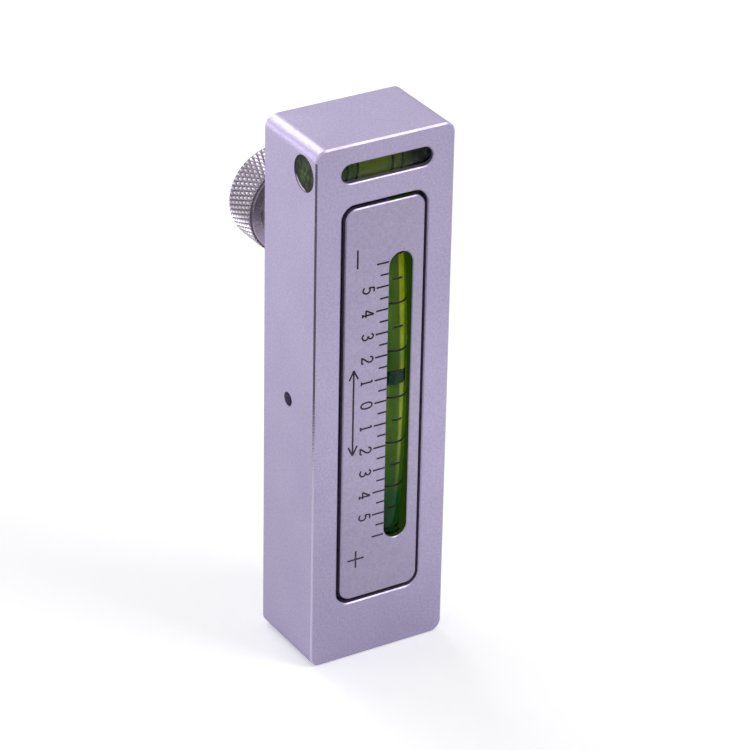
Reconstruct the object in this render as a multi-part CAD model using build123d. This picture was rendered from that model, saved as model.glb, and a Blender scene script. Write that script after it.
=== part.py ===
from build123d import *
import os
from math import cos, degrees, pi, radians, sin, sqrt

# Magnetic camber and caster gauge: a block with a tilting scale carrier and two spirit vials.
# Millimetres. The origin is the centre of the flat hub end, which the gauge stands on. +Z runs up
# the length of the block, the scale faces -Y and the adjusting knob is at +Y.

# Body block
BODY_WIDTH = 31.0
BODY_DEPTH = 20.0
BODY_LENGTH = 115.0
BODY_CORNER_RADIUS = 2.4
BODY_EDGE_CHAMFER = 0.35
MOUTH_CHAMFER = 0.22

# Scale carrier and the pocket that it tilts in
POCKET_END_WALL = 12.92  # from each end of the block to the pocket
CARRIER_WIDTH = 18.3
CARRIER_CORNER_RADIUS = 2.5
CARRIER_BACK = 1.0  # how far the carrier's bar reaches behind the pivot axis
BOSS_BACK = 3.4  # how far its pivot and clevis bosses reach behind the pivot axis
BOSS_HEIGHT = 12.0
LIGHTENING_DEPTH = 6.0  # of the two pockets in the bar's rear, beside the vial
LIGHTENING_SIDE_WALL = 1.5
LIGHTENING_END_WALL = 9.0
CARRIER_EDGE_CHAMFER = 0.35
CARRIER_GAP = 0.5  # all round, between carrier and pocket
TILT_ROOM = 3.6  # free depth behind the bosses
PLATE_THICKNESS = 1.2
PLATE_SINK = 0.15  # of the plate's face, behind the block's
PLATE_LEFT_STEP = 0.45  # how much the plate is smaller than the carrier's bar, on each side
PLATE_TOP_STEP = 0.5
PLATE_BOTTOM_STEP = 0.25
PLATE_EDGE_CHAMFER = 0.22

# Pivot
PIVOT_DIAMETER = 3.0
PIVOT_LENGTH = 24.0
PIVOT_DEPTH = 10.0  # of its axis, behind the front face
RUNNING_GAP = 0.03  # radial, between a pin or shaft and the hole that turns or slides on it

# Camber vial: a tube bent to an arc that bows towards the front
GRADUATION_SPACING = 5.1  # along the tube, for each degree of tilt
VIAL_OFFSET = 4.0  # of its axis, right of the middle
VIAL_DIAMETER = 7.0
VIAL_WALL = 1.0
VIAL_END_MARGIN = 8.08  # from each end of the carrier to the tube
VIAL_SINK = 0.15  # of the tube's nearest line, behind the plate's face
PLUG_LENGTH = 2.0
BED_THICKNESS = 0.25
BED_END_ROOM = 0.6
LIQUID_GAP = 0.02
WINDOW_SIDE_GAP = 0.15  # on each side of the tube, where it enters the window
WINDOW_CHAMFER = 0.15
WINDOW_END_MARGIN = 11.98  # from each end of the carrier to the window
BUBBLE_LENGTH = 3.4
BUBBLE_DEPTH = 1.1
BUBBLE_GAP = 0.05
BUBBLE_DEGREES = 0.8  # where the bubble stands, above the middle
MARK_THICKNESS = 0.06
MARK_WIDTH = 0.5
MARK_SWEEP = 160.0
DASH_SWEEP = 36.0
MARK_END_ROOM = 1.0  # from the last mark to the window's end, at least

# Scale, filled lines in the plate's face
TICK_LONG = 2.7
TICK_SHORT = 1.85
TICK_WIDTH = 0.3
TICK_DEPTH = 0.12

# Levelling vial, across the block's top end
CROSS_BORE_END_WALL = 3.5
CROSS_DEPTH = 4.6  # of its axis, behind the front face
CROSS_FROM_TOP = 6.15
CROSS_VIAL_DIAMETER = 7.0
CROSS_VIAL_WALL = 1.0
CROSS_END_ROOM = 0.3
CROSS_WINDOW_LENGTH = 20.35
CROSS_WINDOW_OFFSET = 0.37  # of its middle, right of the block's
CROSS_WINDOW_HEIGHT = 4.0
CROSS_MARKS = (3.9, 6.15)  # from the vial's middle, to either side
CROSS_BUBBLE_LENGTH = 6.6

# Adjusting knob, its bushing and stud
KNOB_ABOVE_PIVOT = 27.9  # its axis, and so the carrier's lever arm
KNOB_DIAMETER = 21.0
KNOB_GRIP = 7.8
KNOB_CHAMFER = 0.7
KNOB_STANDOFF = 14.6  # from the block's back to the head
KNOB_DISH_DIAMETER = 15.0
KNOB_DISH_DEPTH = 0.6
HUB_DIAMETER = 16.0
HUB_CHAMFER = 0.4
STUD_DIAMETER = 5.0
STUD_THREAD_HOLE = 7.0
STUD_END_ROOM = 2.2
TANG_THICKNESS = 3.0
TANG_HEIGHT = 5.0
EYE_WALL = 0.57
EYE_SLACK = 0.15  # the eye is this much longer than its pin, up and down
TANG_GAP = 0.1
EYE_FRONT_GAP = 0.25
EYE_END_GAP = 0.5
SHOULDER_GAP = 1.0
LINK_PIN_DIAMETER = 2.0
LINK_PIN_LENGTH = 8.0
LINK_PIN_BACK = 1.6  # of its axis, behind the pivot axis
BUSHING_SHANK_DIAMETER = 8.0
BUSHING_FLANGE_DIAMETER = 14.0
BUSHING_FLANGE_THICKNESS = 1.6
BUSHING_JOURNAL_DIAMETER = 10.0
BUSHING_END_GAP = 0.2
WASHER_THICKNESS = 0.5
WASHER_DIAMETER = 14.0
WASHER_GAP = 0.05
GRUB_DIAMETER = 3.0
GRUB_POINT_DIAMETER = 1.9
GRUB_GROOVE_DEPTH = 0.7
GRUB_POINT_GAP = 0.1
GRUB_SINK = 0.4
GRUB_SOCKET = 1.5
GRUB_SOCKET_DEPTH = 1.2
GRUB_FROM_HEAD = 6.5

# Hub magnet, a pot with a threaded stud
MAGNET_CUP_DIAMETER = 16.0
MAGNET_CUP_HEIGHT = 4.5
MAGNET_CUP_WALL = 1.5
MAGNET_SPACER = 1.3
MAGNET_STUD_DIAMETER = 4.0
MAGNET_STUD_LENGTH = 6.0
MAGNET_RECESS = 0.05
MAGNET_FIT = 0.05

# Screws that hold the plate to the carrier, from behind
SCREW_DIAMETER = 2.0
SCREW_HEAD_DIAMETER = 3.8
SCREW_HEAD_HEIGHT = 2.0
SCREW_SOCKET = 1.5
SCREW_SOCKET_DEPTH = 1.0
SCREW_GRIP = 3.0  # of carrier under the head
SCREW_BITE = 0.9  # of thread in the plate
SCREW_GAP = 0.1
SCREW_FROM_SIDE = 4.3
SCREW_FROM_END = 3.9

# Planes, axes and lengths that follow
FRONT = -BODY_DEPTH / 2
BACK = BODY_DEPTH / 2
MIDDLE = BODY_LENGTH / 2
KNOB_HEIGHT = MIDDLE + KNOB_ABOVE_PIVOT
CARRIER_LENGTH = BODY_LENGTH - 2 * (POCKET_END_WALL + CARRIER_GAP)
PIVOT_Y = FRONT + PIVOT_DEPTH
PLATE_FRONT = FRONT + PLATE_SINK
PLATE_BACK = PLATE_FRONT + PLATE_THICKNESS
CARRIER_REAR = PIVOT_Y + CARRIER_BACK
BOSS_REAR = PIVOT_Y + BOSS_BACK
POCKET_FLOOR = BOSS_REAR + TILT_ROOM
BEND_RADIUS = GRADUATION_SPACING * 180 / pi
VIAL_LENGTH = CARRIER_LENGTH - 2 * VIAL_END_MARGIN
VIAL_Y = PLATE_FRONT + VIAL_SINK + VIAL_DIAMETER / 2
TUBE_AT_PLATE_BACK = 2 * sqrt((VIAL_DIAMETER / 2) ** 2 - (VIAL_Y - PLATE_BACK) ** 2)
WINDOW_WIDTH = TUBE_AT_PLATE_BACK + 2 * WINDOW_SIDE_GAP
WINDOW_LENGTH = CARRIER_LENGTH - 2 * WINDOW_END_MARGIN
MARKED_DEGREES = int((WINDOW_LENGTH / 2 - MARK_END_ROOM) / GRADUATION_SPACING)
BEND_AXIS = Axis((0, VIAL_Y + BEND_RADIUS, MIDDLE), (1, 0, 0))
BED_RADIUS = VIAL_DIAMETER / 2 + BED_THICKNESS
BORE_RADIUS = VIAL_DIAMETER / 2 - VIAL_WALL
CROSS_Y = FRONT + CROSS_DEPTH
CROSS_Z = BODY_LENGTH - CROSS_FROM_TOP
CROSS_LEFT = -BODY_WIDTH / 2 + CROSS_END_ROOM
CROSS_RIGHT = BODY_WIDTH / 2 - CROSS_BORE_END_WALL - CROSS_END_ROOM
CROSS_MIDDLE = (CROSS_LEFT + CROSS_RIGHT) / 2
CROSS_BORE_RADIUS = CROSS_VIAL_DIAMETER / 2 - CROSS_VIAL_WALL
CROSS_HOLE_RADIUS = CROSS_VIAL_DIAMETER / 2 + BED_THICKNESS
MAGNET_POCKET_RADIUS = MAGNET_CUP_DIAMETER / 2 - MAGNET_CUP_WALL
MAGNET_RADIUS = MAGNET_POCKET_RADIUS - MAGNET_SPACER
HEAD_FRONT = BACK + KNOB_STANDOFF
HEAD_BACK = HEAD_FRONT + KNOB_GRIP + 2 * KNOB_CHAMFER
HUB_FRONT = BACK + BUSHING_FLANGE_THICKNESS + WASHER_THICKNESS + WASHER_GAP
JOURNAL_END = HEAD_FRONT - KNOB_CHAMFER
THREAD_END = JOURNAL_END + BUSHING_END_GAP + STUD_THREAD_HOLE
GRUB_Y = HEAD_FRONT - GRUB_FROM_HEAD
LINK_PIN_Y = PIVOT_Y + LINK_PIN_BACK
EYE_HALF_DEPTH = LINK_PIN_DIAMETER / 2 + RUNNING_GAP + EYE_WALL
SHOULDER_Y = BOSS_REAR + SHOULDER_GAP


def facing_front(y, x=0.0, z=0.0):
    """A drawing plane at depth y, seen from the front: its x is X and its y is Z."""
    return Plane((x, y, z), x_dir=(1, 0, 0), z_dir=(0, -1, 0))


def rod_x(radius, start, end, y, z):
    return Pos((start + end) / 2, y, z) * Rot(0, 90, 0) * Cylinder(radius, end - start)


def rod_y(radius, start, end, z, x=0.0):
    return Pos(x, (start + end) / 2, z) * Rot(90, 0, 0) * Cylinder(radius, end - start)


def rod_z(radius, start, end, x=0.0, y=0.0):
    return Pos(x, y, (start + end) / 2) * Cylinder(radius, end - start)


def slab(x_range, y_range, z_range):
    """A box between two limits along each axis."""
    sizes = [high - low for low, high in (x_range, y_range, z_range)]
    middles = [(high + low) / 2 for low, high in (x_range, y_range, z_range)]
    return Pos(*middles) * Box(*sizes)


def rounded_bar(width, length, radius, front, back):
    """A bar between two depths with its corners rounded as seen from the front."""
    outline = facing_front(front, z=MIDDLE) * RectangleRounded(width, length, radius)
    return extrude(outline, amount=-(back - front))


def slot(width, height, front, back, x, z):
    """A round-ended slot between two depths, longest along X or Z."""
    if width > height:
        outline = SlotOverall(width, height)
    else:
        outline = SlotOverall(height, width, rotation=90)
    return extrude(facing_front(front, x, z) * outline, amount=-(back - front))


def bend(section, half_length):
    """Sweeps a section at mid-length along the camber vial's arc, to both sides of the middle."""
    half_angle = degrees(half_length / BEND_RADIUS)
    swept = revolve(section, axis=BEND_AXIS, revolution_arc=2 * half_angle)
    return swept.rotate(BEND_AXIS, -half_angle)


def vial_section(sketch):
    """Places a flat section on the camber vial's axis at mid-length, with its y along Y."""
    return Plane((VIAL_OFFSET, VIAL_Y, MIDDLE), x_dir=(1, 0, 0), z_dir=(0, 0, 1)) * sketch


def cross_section(sketch, x):
    """Places a flat section on the levelling vial's axis, with its y along Y."""
    return Plane((x, CROSS_Y, CROSS_Z), x_dir=(0, 0, -1), z_dir=(1, 0, 0)) * sketch


def ring(outer, inner):
    return Circle(outer) - Circle(inner)


def rear_half(sketch, reach):
    """Keeps the part of a vial section that is behind its axis."""
    return sketch & (Pos(0, reach / 2) * Rectangle(2 * reach, reach))


def below_bubble(radius, bubble_depth):
    """The bore's section without the sliver at the front that the bubble runs in."""
    level = -radius + bubble_depth
    return Circle(radius) & (Pos(0, level + radius) * Rectangle(2 * radius, 2 * radius))


def bubble_section(radius, bubble_depth):
    level = -radius + bubble_depth
    return Circle(radius) & (Pos(0, level - radius) * Rectangle(2 * radius, 2 * radius))


def front_arc(radius, sweep):
    """A thin printed line round the front of a tube, as a flat section."""
    wedge = Polygon((0, 0), *fan(radius * 2, sweep), align=None)
    return ring(radius + MARK_THICKNESS, radius) & wedge


def fan(reach, sweep):
    """Corners of a fan that opens towards the front, from one side to the other."""
    steps = 4
    turns = [radians(-90 - sweep / 2 + sweep * step / steps) for step in range(steps + 1)]
    return [(reach * cos(turn), reach * sin(turn)) for turn in turns]


def hexagon_socket(across_flats, depth):
    """A hexagonal recess along Z, from the origin upwards."""
    return extrude(RegularPolygon(across_flats / 2, 6, major_radius=False), amount=depth)


def screw_places():
    x = CARRIER_WIDTH / 2 - SCREW_FROM_SIDE
    z = CARRIER_LENGTH / 2 - SCREW_FROM_END
    return [(side * x, MIDDLE + end * z) for side in (-1, 1) for end in (-1, 1)]


def body_block():
    block = Pos(0, 0, MIDDLE) * Box(BODY_WIDTH, BODY_DEPTH, BODY_LENGTH)
    block = fillet(block.edges().filter_by(Axis.Y), BODY_CORNER_RADIUS)
    faces = block.faces().sort_by(Axis.Y)
    block = chamfer(faces[0].edges() + faces[-1].edges(), BODY_EDGE_CHAMFER)
    block -= rounded_bar(
        CARRIER_WIDTH + 2 * CARRIER_GAP, CARRIER_LENGTH + 2 * CARRIER_GAP,
        CARRIER_CORNER_RADIUS + CARRIER_GAP, FRONT, POCKET_FLOOR)
    block -= slot(CROSS_WINDOW_LENGTH, CROSS_WINDOW_HEIGHT, FRONT, CROSS_Y,
                  CROSS_WINDOW_OFFSET, CROSS_Z)
    mouths = block.faces().sort_by(Axis.Y)[0].inner_wires().edges()
    block = chamfer(mouths, MOUTH_CHAMFER)
    block -= rod_x(CROSS_HOLE_RADIUS, -BODY_WIDTH / 2, CROSS_RIGHT + CROSS_END_ROOM,
                   CROSS_Y, CROSS_Z)
    block -= rod_x(PIVOT_DIAMETER / 2, -BODY_WIDTH / 2, BODY_WIDTH / 2, PIVOT_Y, MIDDLE)
    block -= rod_y(BUSHING_SHANK_DIAMETER / 2, POCKET_FLOOR, BACK, KNOB_HEIGHT)
    cup_top = MAGNET_RECESS + MAGNET_CUP_HEIGHT
    block -= rod_z(MAGNET_CUP_DIAMETER / 2 + MAGNET_FIT, 0, cup_top)
    block -= rod_z(MAGNET_STUD_DIAMETER / 2, 0, cup_top + MAGNET_STUD_LENGTH)
    return block


def pivot_pin():
    return rod_x(PIVOT_DIAMETER / 2, -PIVOT_LENGTH / 2, PIVOT_LENGTH / 2, PIVOT_Y, MIDDLE)


def vial_carrier():
    bar = rounded_bar(CARRIER_WIDTH, CARRIER_LENGTH, CARRIER_CORNER_RADIUS,
                      PLATE_BACK, CARRIER_REAR)
    bar = chamfer(bar.faces().sort_by(Axis.Y)[-1].edges(), CARRIER_EDGE_CHAMFER)
    for pocket in lightening_pockets():
        bar -= pocket
    for z in (MIDDLE, KNOB_HEIGHT):
        bar += slab((-CARRIER_WIDTH / 2, CARRIER_WIDTH / 2), (CARRIER_REAR, BOSS_REAR),
                    (z - BOSS_HEIGHT / 2, z + BOSS_HEIGHT / 2))
    to_front = Pos(0, -BED_RADIUS) * Rectangle(2 * BED_RADIUS, 2 * BED_RADIUS)
    bar -= bend(vial_section(Circle(BED_RADIUS) + to_front), VIAL_LENGTH / 2 + BED_END_ROOM)
    bar -= rod_x(PIVOT_DIAMETER / 2 + RUNNING_GAP, -CARRIER_WIDTH / 2, CARRIER_WIDTH / 2,
                 PIVOT_Y, MIDDLE)
    clevis_half = TANG_THICKNESS / 2 + TANG_GAP
    clevis_rise = TANG_HEIGHT / 2 + EYE_SLACK + EYE_END_GAP
    clevis_front = LINK_PIN_Y - EYE_HALF_DEPTH - EYE_FRONT_GAP
    bar -= slab((-clevis_half, clevis_half), (clevis_front, BOSS_REAR),
                (KNOB_HEIGHT - clevis_rise, KNOB_HEIGHT + clevis_rise))
    bar -= rod_x(LINK_PIN_DIAMETER / 2, -CARRIER_WIDTH / 2, LINK_PIN_LENGTH / 2,
                 LINK_PIN_Y, KNOB_HEIGHT)
    for x, z in screw_places():
        seat = PLATE_BACK + SCREW_GRIP
        bar -= rod_y(SCREW_DIAMETER / 2 + SCREW_GAP, PLATE_BACK, seat, z, x)
        bar -= rod_y(SCREW_HEAD_DIAMETER / 2 + SCREW_GAP, seat, CARRIER_REAR, z, x)
    return bar


def lightening_pockets():
    """Two pockets milled into the bar's rear beside the vial, below and above the pivot boss."""
    left = -CARRIER_WIDTH / 2 + LIGHTENING_SIDE_WALL
    right = VIAL_OFFSET - BED_RADIUS - LIGHTENING_SIDE_WALL
    bottom = MIDDLE - CARRIER_LENGTH / 2 + LIGHTENING_END_WALL
    depths = (CARRIER_REAR - LIGHTENING_DEPTH, CARRIER_REAR)
    half_boss = BOSS_HEIGHT / 2
    return [slab((left, right), depths, (bottom, MIDDLE - half_boss)),
            slab((left, right), depths, (MIDDLE + half_boss, KNOB_HEIGHT - half_boss))]


def link_pin():
    return rod_x(LINK_PIN_DIAMETER / 2, -LINK_PIN_LENGTH / 2, LINK_PIN_LENGTH / 2,
                 LINK_PIN_Y, KNOB_HEIGHT)


def tick_boxes():
    """One thin bar per half degree, in the plate's face beside the window."""
    right = VIAL_OFFSET - WINDOW_WIDTH / 2 - WINDOW_CHAMFER
    boxes = []
    for half_degree in range(-2 * MARKED_DEGREES, 2 * MARKED_DEGREES + 1):
        length = TICK_SHORT if half_degree % 2 else TICK_LONG
        z = MIDDLE + half_degree * GRADUATION_SPACING / 2
        boxes.append(slab((right - length, right), (PLATE_FRONT, PLATE_FRONT + TICK_DEPTH),
                          (z - TICK_WIDTH / 2, z + TICK_WIDTH / 2)))
    return boxes


def scale_plate():
    width = CARRIER_WIDTH - PLATE_LEFT_STEP
    length = CARRIER_LENGTH - PLATE_TOP_STEP - PLATE_BOTTOM_STEP
    plate = rounded_bar(width, length, CARRIER_CORNER_RADIUS, PLATE_FRONT, PLATE_BACK)
    plate = Pos(PLATE_LEFT_STEP / 2, 0, (PLATE_BOTTOM_STEP - PLATE_TOP_STEP) / 2) * plate
    plate -= slot(WINDOW_WIDTH, WINDOW_LENGTH, PLATE_FRONT, PLATE_BACK, VIAL_OFFSET, MIDDLE)
    plate = chamfer(plate.faces().sort_by(Axis.Y)[0].outer_wire().edges(), PLATE_EDGE_CHAMFER)
    plate = chamfer(plate.faces().sort_by(Axis.Y)[0].inner_wires().edges(), WINDOW_CHAMFER)
    for x, z in screw_places():
        plate -= rod_y(SCREW_DIAMETER / 2, PLATE_BACK - SCREW_BITE, PLATE_BACK, z, x)
    for tick in tick_boxes():
        plate -= tick
    return plate


def plate_screws():
    screws = []
    for x, z in screw_places():
        seat = PLATE_BACK + SCREW_GRIP
        head_end = seat + SCREW_HEAD_HEIGHT
        screw = rod_y(SCREW_DIAMETER / 2, PLATE_BACK - SCREW_BITE, seat, z, x)
        screw += rod_y(SCREW_HEAD_DIAMETER / 2, seat, head_end, z, x)
        socket = hexagon_socket(SCREW_SOCKET, SCREW_SOCKET_DEPTH)
        screws.append(screw - Pos(x, head_end, z) * Rot(90, 0, 0) * socket)
    return screws


def long_vial_tube():
    return bend(vial_section(ring(VIAL_DIAMETER / 2, BORE_RADIUS)), VIAL_LENGTH / 2)


def long_vial_plugs():
    whole = bend(vial_section(Circle(BORE_RADIUS)), VIAL_LENGTH / 2)
    gap = bend(vial_section(Circle(VIAL_DIAMETER)), VIAL_LENGTH / 2 - PLUG_LENGTH)
    return (whole - gap).solids()


def long_vial_liquid():
    section = below_bubble(BORE_RADIUS - LIQUID_GAP, BUBBLE_DEPTH)
    return bend(vial_section(section), VIAL_LENGTH / 2 - PLUG_LENGTH - LIQUID_GAP)


def long_vial_bubble():
    section = bubble_section(BORE_RADIUS - BUBBLE_GAP, BUBBLE_DEPTH - 2 * BUBBLE_GAP)
    bubble = bend(vial_section(section), BUBBLE_LENGTH / 2)
    return bubble.rotate(BEND_AXIS, -BUBBLE_DEGREES)


def long_vial_rings():
    """Printed lines on the tube: a long arc every two degrees and a short dash between."""
    marks = []
    for degree in range(-MARKED_DEGREES, MARKED_DEGREES + 1):
        sweep = DASH_SWEEP if degree % 2 else MARK_SWEEP
        section = vial_section(front_arc(VIAL_DIAMETER / 2, sweep))
        marks.append(bend(section, MARK_WIDTH / 2).rotate(BEND_AXIS, -degree))
    return marks


def long_vial_bed():
    section = rear_half(ring(BED_RADIUS, VIAL_DIAMETER / 2), BED_RADIUS)
    return bend(vial_section(section), VIAL_LENGTH / 2)


def cross_vial_tube():
    section = cross_section(ring(CROSS_VIAL_DIAMETER / 2, CROSS_BORE_RADIUS), CROSS_LEFT)
    return extrude(section, amount=CROSS_RIGHT - CROSS_LEFT)


def cross_vial_plugs():
    return [rod_x(CROSS_BORE_RADIUS, CROSS_LEFT, CROSS_LEFT + PLUG_LENGTH, CROSS_Y, CROSS_Z),
            rod_x(CROSS_BORE_RADIUS, CROSS_RIGHT - PLUG_LENGTH, CROSS_RIGHT, CROSS_Y, CROSS_Z)]


def cross_vial_liquid():
    section = below_bubble(CROSS_BORE_RADIUS - LIQUID_GAP, BUBBLE_DEPTH)
    start = CROSS_LEFT + PLUG_LENGTH + LIQUID_GAP
    end = CROSS_RIGHT - PLUG_LENGTH - LIQUID_GAP
    return extrude(cross_section(section, start), amount=end - start)


def cross_vial_bubble():
    section = bubble_section(CROSS_BORE_RADIUS - BUBBLE_GAP, BUBBLE_DEPTH - 2 * BUBBLE_GAP)
    start = CROSS_MIDDLE - CROSS_BUBBLE_LENGTH / 2
    return extrude(cross_section(section, start), amount=CROSS_BUBBLE_LENGTH)


def cross_vial_rings():
    marks = []
    for distance in CROSS_MARKS:
        for side in (-1, 1):
            x = CROSS_MIDDLE + side * distance - MARK_WIDTH / 2
            section = cross_section(front_arc(CROSS_VIAL_DIAMETER / 2, MARK_SWEEP), x)
            marks.append(extrude(section, amount=MARK_WIDTH))
    return marks


def cross_vial_bed():
    outer = CROSS_HOLE_RADIUS
    section = rear_half(ring(outer, CROSS_VIAL_DIAMETER / 2), outer)
    return extrude(cross_section(section, CROSS_LEFT), amount=CROSS_RIGHT - CROSS_LEFT)


def stud_bushing():
    flange_back = BACK + BUSHING_FLANGE_THICKNESS
    journal = BUSHING_JOURNAL_DIAMETER / 2
    bush = rod_y(BUSHING_SHANK_DIAMETER / 2, POCKET_FLOOR, BACK, KNOB_HEIGHT)
    bush += rod_y(BUSHING_FLANGE_DIAMETER / 2, BACK, flange_back, KNOB_HEIGHT)
    bush += rod_y(journal, flange_back, JOURNAL_END, KNOB_HEIGHT)
    groove_half = GRUB_POINT_DIAMETER / 2 + GRUB_POINT_GAP / 2
    groove = rod_y(journal + GRUB_GROOVE_DEPTH, GRUB_Y - groove_half, GRUB_Y + groove_half,
                   KNOB_HEIGHT)
    groove -= rod_y(journal - GRUB_GROOVE_DEPTH, GRUB_Y - groove_half, GRUB_Y + groove_half,
                    KNOB_HEIGHT)
    bush -= groove
    bush -= rod_y(STUD_DIAMETER / 2 + RUNNING_GAP, POCKET_FLOOR, JOURNAL_END, KNOB_HEIGHT)
    return bush


def wave_washer():
    front = BACK + BUSHING_FLANGE_THICKNESS
    washer = rod_y(WASHER_DIAMETER / 2, front, front + WASHER_THICKNESS, KNOB_HEIGHT)
    hole = BUSHING_JOURNAL_DIAMETER / 2 + RUNNING_GAP
    return washer - rod_y(hole, front, front + WASHER_THICKNESS, KNOB_HEIGHT)


def adjusting_stud():
    """A threaded rod that can't turn: its flat eye sits in the carrier's clevis, on a pin."""
    stud = rod_y(STUD_DIAMETER / 2, SHOULDER_Y, THREAD_END - STUD_END_ROOM, KNOB_HEIGHT)
    half = TANG_THICKNESS / 2
    rise = TANG_HEIGHT / 2
    tang = slab((-half, half), (LINK_PIN_Y - EYE_HALF_DEPTH, SHOULDER_Y),
                (KNOB_HEIGHT - rise, KNOB_HEIGHT + rise))
    eye_radius = LINK_PIN_DIAMETER / 2 + RUNNING_GAP
    eye = rod_x(eye_radius, -half, half, LINK_PIN_Y, KNOB_HEIGHT + EYE_SLACK)
    eye += rod_x(eye_radius, -half, half, LINK_PIN_Y, KNOB_HEIGHT - EYE_SLACK)
    eye += slab((-half, half), (LINK_PIN_Y - eye_radius, LINK_PIN_Y + eye_radius),
                (KNOB_HEIGHT - EYE_SLACK, KNOB_HEIGHT + EYE_SLACK))
    return stud + tang - eye


def knurled_knob():
    hub = rod_y(HUB_DIAMETER / 2, HUB_FRONT, HEAD_FRONT, KNOB_HEIGHT)
    hub = chamfer(hub.faces().sort_by(Axis.Y)[0].edges(), HUB_CHAMFER)
    head = rod_y(KNOB_DIAMETER / 2, HEAD_FRONT, HEAD_BACK, KNOB_HEIGHT)
    ends = head.faces().sort_by(Axis.Y)
    head = chamfer(ends[0].edges() + ends[-1].edges(), KNOB_CHAMFER)
    knob = hub + head
    knob -= rod_y(KNOB_DISH_DIAMETER / 2, HEAD_BACK - KNOB_DISH_DEPTH, HEAD_BACK, KNOB_HEIGHT)
    knob -= rod_y(BUSHING_JOURNAL_DIAMETER / 2 + RUNNING_GAP, HUB_FRONT,
                  JOURNAL_END + BUSHING_END_GAP, KNOB_HEIGHT)
    knob -= rod_y(STUD_DIAMETER / 2 + RUNNING_GAP, JOURNAL_END, THREAD_END, KNOB_HEIGHT)
    knob -= rod_x(GRUB_DIAMETER / 2, -HUB_DIAMETER / 2, HUB_DIAMETER / 2, GRUB_Y, KNOB_HEIGHT)
    return knob


def knob_grub_screws():
    """Two dog-point screws in the hub, whose points run in the bushing's groove."""
    journal = BUSHING_JOURNAL_DIAMETER / 2
    tip = journal - GRUB_GROOVE_DEPTH + GRUB_POINT_GAP
    thread_start = journal + GRUB_SINK
    head = HUB_DIAMETER / 2 - GRUB_SINK
    screw = rod_x(GRUB_POINT_DIAMETER / 2, tip, thread_start, GRUB_Y, KNOB_HEIGHT)
    screw += rod_x(GRUB_DIAMETER / 2, thread_start, head, GRUB_Y, KNOB_HEIGHT)
    socket = Rot(0, -90, 0) * hexagon_socket(GRUB_SOCKET, GRUB_SOCKET_DEPTH)
    screw -= Pos(head, GRUB_Y, KNOB_HEIGHT) * socket
    return [screw, screw.mirror(Plane.YZ)]


def magnet_cup():
    top = MAGNET_RECESS + MAGNET_CUP_HEIGHT
    cup = rod_z(MAGNET_CUP_DIAMETER / 2, MAGNET_RECESS, top)
    cup += rod_z(MAGNET_STUD_DIAMETER / 2, top, top + MAGNET_STUD_LENGTH)
    return cup - rod_z(MAGNET_POCKET_RADIUS, MAGNET_RECESS, top - MAGNET_CUP_WALL)


def hub_magnet():
    top = MAGNET_RECESS + MAGNET_CUP_HEIGHT - MAGNET_CUP_WALL
    return rod_z(MAGNET_RADIUS, MAGNET_RECESS, top)


def magnet_spacer_ring():
    top = MAGNET_RECESS + MAGNET_CUP_HEIGHT - MAGNET_CUP_WALL
    spacer = rod_z(MAGNET_POCKET_RADIUS, MAGNET_RECESS, top)
    return spacer - rod_z(MAGNET_RADIUS, MAGNET_RECESS, top)


PARTS = {
    "body_block": body_block,
    "pivot_pin": pivot_pin,
    "magnet_cup": magnet_cup,
    "hub_magnet": hub_magnet,
    "magnet_spacer_ring": magnet_spacer_ring,
    "cross_vial_tube": cross_vial_tube,
    "cross_vial_plugs": cross_vial_plugs,
    "cross_vial_liquid": cross_vial_liquid,
    "cross_vial_bubble": cross_vial_bubble,
    "cross_vial_rings": cross_vial_rings,
    "cross_vial_bed": cross_vial_bed,
    "stud_bushing": stud_bushing,
    "wave_washer": wave_washer,
    "vial_carrier": vial_carrier,
    "scale_plate": scale_plate,
    "scale_ticks": tick_boxes,
    "plate_screws": plate_screws,
    "link_pin": link_pin,
    "long_vial_tube": long_vial_tube,
    "long_vial_plugs": long_vial_plugs,
    "long_vial_liquid": long_vial_liquid,
    "long_vial_bubble": long_vial_bubble,
    "long_vial_rings": long_vial_rings,
    "long_vial_bed": long_vial_bed,
    "adjusting_stud": adjusting_stud,
    "knurled_knob": knurled_knob,
    "knob_grub_screws": knob_grub_screws,
}


def main():
    os.makedirs("parts", exist_ok=True)
    for name, make in PARTS.items():
        made = make()
        shape = Compound(children=list(made)) if isinstance(made, list) else made
        export_step(shape, f"parts/{name}.step")


main()
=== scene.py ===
# %% [markdown]
# # Camber and caster gauge
# A small magnetic workshop gauge: an anodised aluminium block with a bent spirit vial behind a
# scale, a short levelling vial across its top end and a knurled knob on its back. Its sizes and
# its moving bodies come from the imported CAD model, and this lesson dresses them. Everything is
# in metres and in the model's own frame: X to the right, Y to the back, Z up.

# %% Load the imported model
import math

import bmesh
import bpy
from mathutils import Matrix, Vector


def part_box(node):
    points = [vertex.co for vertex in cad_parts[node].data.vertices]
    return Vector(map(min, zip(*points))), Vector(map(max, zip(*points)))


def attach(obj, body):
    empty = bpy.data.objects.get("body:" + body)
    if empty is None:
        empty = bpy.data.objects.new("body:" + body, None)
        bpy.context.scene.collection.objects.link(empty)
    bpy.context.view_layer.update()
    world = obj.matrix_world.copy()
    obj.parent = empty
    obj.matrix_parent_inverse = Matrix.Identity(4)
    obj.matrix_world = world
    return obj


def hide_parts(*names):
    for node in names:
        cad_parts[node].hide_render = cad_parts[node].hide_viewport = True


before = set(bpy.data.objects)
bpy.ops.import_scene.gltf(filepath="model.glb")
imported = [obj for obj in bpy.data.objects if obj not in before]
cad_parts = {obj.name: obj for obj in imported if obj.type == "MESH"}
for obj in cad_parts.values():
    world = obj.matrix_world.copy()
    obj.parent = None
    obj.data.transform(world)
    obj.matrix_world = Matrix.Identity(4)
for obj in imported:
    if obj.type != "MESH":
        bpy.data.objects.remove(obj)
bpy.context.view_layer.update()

MM = 0.001

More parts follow.
